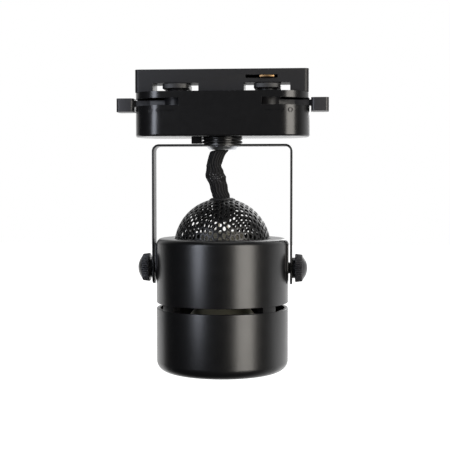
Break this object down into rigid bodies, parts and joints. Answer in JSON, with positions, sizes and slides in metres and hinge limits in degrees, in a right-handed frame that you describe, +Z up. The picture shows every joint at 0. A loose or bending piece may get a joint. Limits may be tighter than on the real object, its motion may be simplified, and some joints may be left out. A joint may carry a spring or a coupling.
{
  "type": "track spotlight",
  "caption": "Cylindrical reflector-lamp spotlight on a U-shaped yoke under a track adapter with two locking levers; pans, tilts and locks with thumb knobs",
  "frame": {"origin": "on the pan axis, in the plane where the adapter seats against the underside of the track", "axes": "+Z up into the track and along the pan axis, +X along the track and along the tilt axis at rest, -Y towards the side that the latch levers swing to"},
  "size_m": [0.1218, 0.0758, 0.1724],
  "materials": {
    "casing_plastic": "moulded matt black glass-filled nylon",
    "insert_plastic": "moulded matt black nylon",
    "latch_plastic": "moulded matt black nylon",
    "wing_plastic": "moulded matt black nylon",
    "zinc_steel": "bright zinc plate",
    "contact_brass": "stamped brass",
    "insert_brass": "turned brass",
    "wire_insulation": "silicone insulation",
    "lead_insulation": "silicone insulation",
    "yoke_paint": "satin black powder coat on steel strip",
    "nut_paint": "satin black on steel",
    "braided_sleeve": "black braided sleeve",
    "head_paint": "satin black powder coat on die-cast aluminium",
    "mesh_paint": "black painted perforated steel",
    "grommet_rubber": "moulded black rubber",
    "holder_ceramic": "unglazed pale ceramic",
    "lamp_aluminium": "grey dichroic reflector shell",
    "lamp_glass": "clear cover glass",
    "capsule_glass": "clear quartz",
    "pin_metal": "nickel plate",
    "collar_paint": "matt black baffle",
    "clip_steel": "spring steel wire",
    "washer_plastic": "nylon washer",
    "knob_plastic": "moulded satin black plastic"
  },
  "bodies": {
    "adapter": {"adapter_casing": "casing_plastic", "boss_rings": "nut_paint", "track_insert": "insert_plastic", "casing_screws": "zinc_steel", "contact_springs": "contact_brass", "adapter_wires": "wire_insulation"},
    "left_latch": {"left_lever": "latch_plastic", "left_lock_wing": "wing_plastic", "left_contact": "contact_brass", "left_contact_screw": "contact_brass"},
    "right_latch": {"right_lever": "latch_plastic", "right_lock_wing": "wing_plastic", "right_contact": "contact_brass", "right_contact_screw": "contact_brass"},
    "yoke": {"yoke": "yoke_paint", "pan_nipple": "zinc_steel", "spring_washer": "zinc_steel", "stop_washer": "zinc_steel", "nipple_locknut": "zinc_steel", "swivel_nut": "zinc_steel", "cable_sleeve": "braided_sleeve"},
    "head": {"rear_housing": "head_paint", "front_ring": "head_paint", "rib_screws": "zinc_steel", "pivot_inserts": "insert_brass", "mesh_dome": "mesh_paint", "dome_grommet": "grommet_rubber", "lampholder": "holder_ceramic", "lampholder_bracket": "zinc_steel", "bracket_screws": "zinc_steel", "holder_screws": "zinc_steel", "lamp_body": "lamp_aluminium", "lamp_lens": "lamp_glass", "lamp_capsule": "capsule_glass", "lamp_pins": "pin_metal", "lamp_collar": "collar_paint", "lamp_clip": "clip_steel", "inner_sleeve": "braided_sleeve", "lamp_leads": "lead_insulation", "left_pivot_washer": "washer_plastic", "right_pivot_washer": "washer_plastic"},
    "left_knob": {"left_knob": "knob_plastic", "left_knob_screw": "zinc_steel"},
    "right_knob": {"right_knob": "knob_plastic", "right_knob_screw": "zinc_steel"}
  },
  "joints": [
    {"name": "pan", "type": "hinge", "parent": "adapter", "child": "yoke", "pos_m": [0, 0, -0.03], "axis": [0, 0, 1], "range_deg": [-170, 170]},
    {"name": "tilt", "type": "hinge", "parent": "yoke", "child": "head", "pos_m": [0, 0, -0.1003], "axis": [1, 0, 0], "range_deg": [-90, 90], "deforming": ["cable_sleeve"]},
    {"name": "left_latch_turn", "type": "hinge", "parent": "adapter", "child": "left_latch", "pos_m": [-0.026, 0, 0], "axis": [0, 0, 1], "range_deg": [0, 90]},
    {"name": "right_latch_turn", "type": "hinge", "parent": "adapter", "child": "right_latch", "pos_m": [0.026, 0, 0], "axis": [0, 0, 1], "range_deg": [-90, 0]},
    {"name": "left_knob_turn", "type": "hinge", "parent": "head", "child": "left_knob", "pos_m": [-0.044, 0, -0.1003], "axis": [1, 0, 0], "continuous": true},
    {"name": "right_knob_turn", "type": "hinge", "parent": "head", "child": "right_knob", "pos_m": [0.044, 0, -0.1003], "axis": [1, 0, 0], "continuous": true}
  ]
}
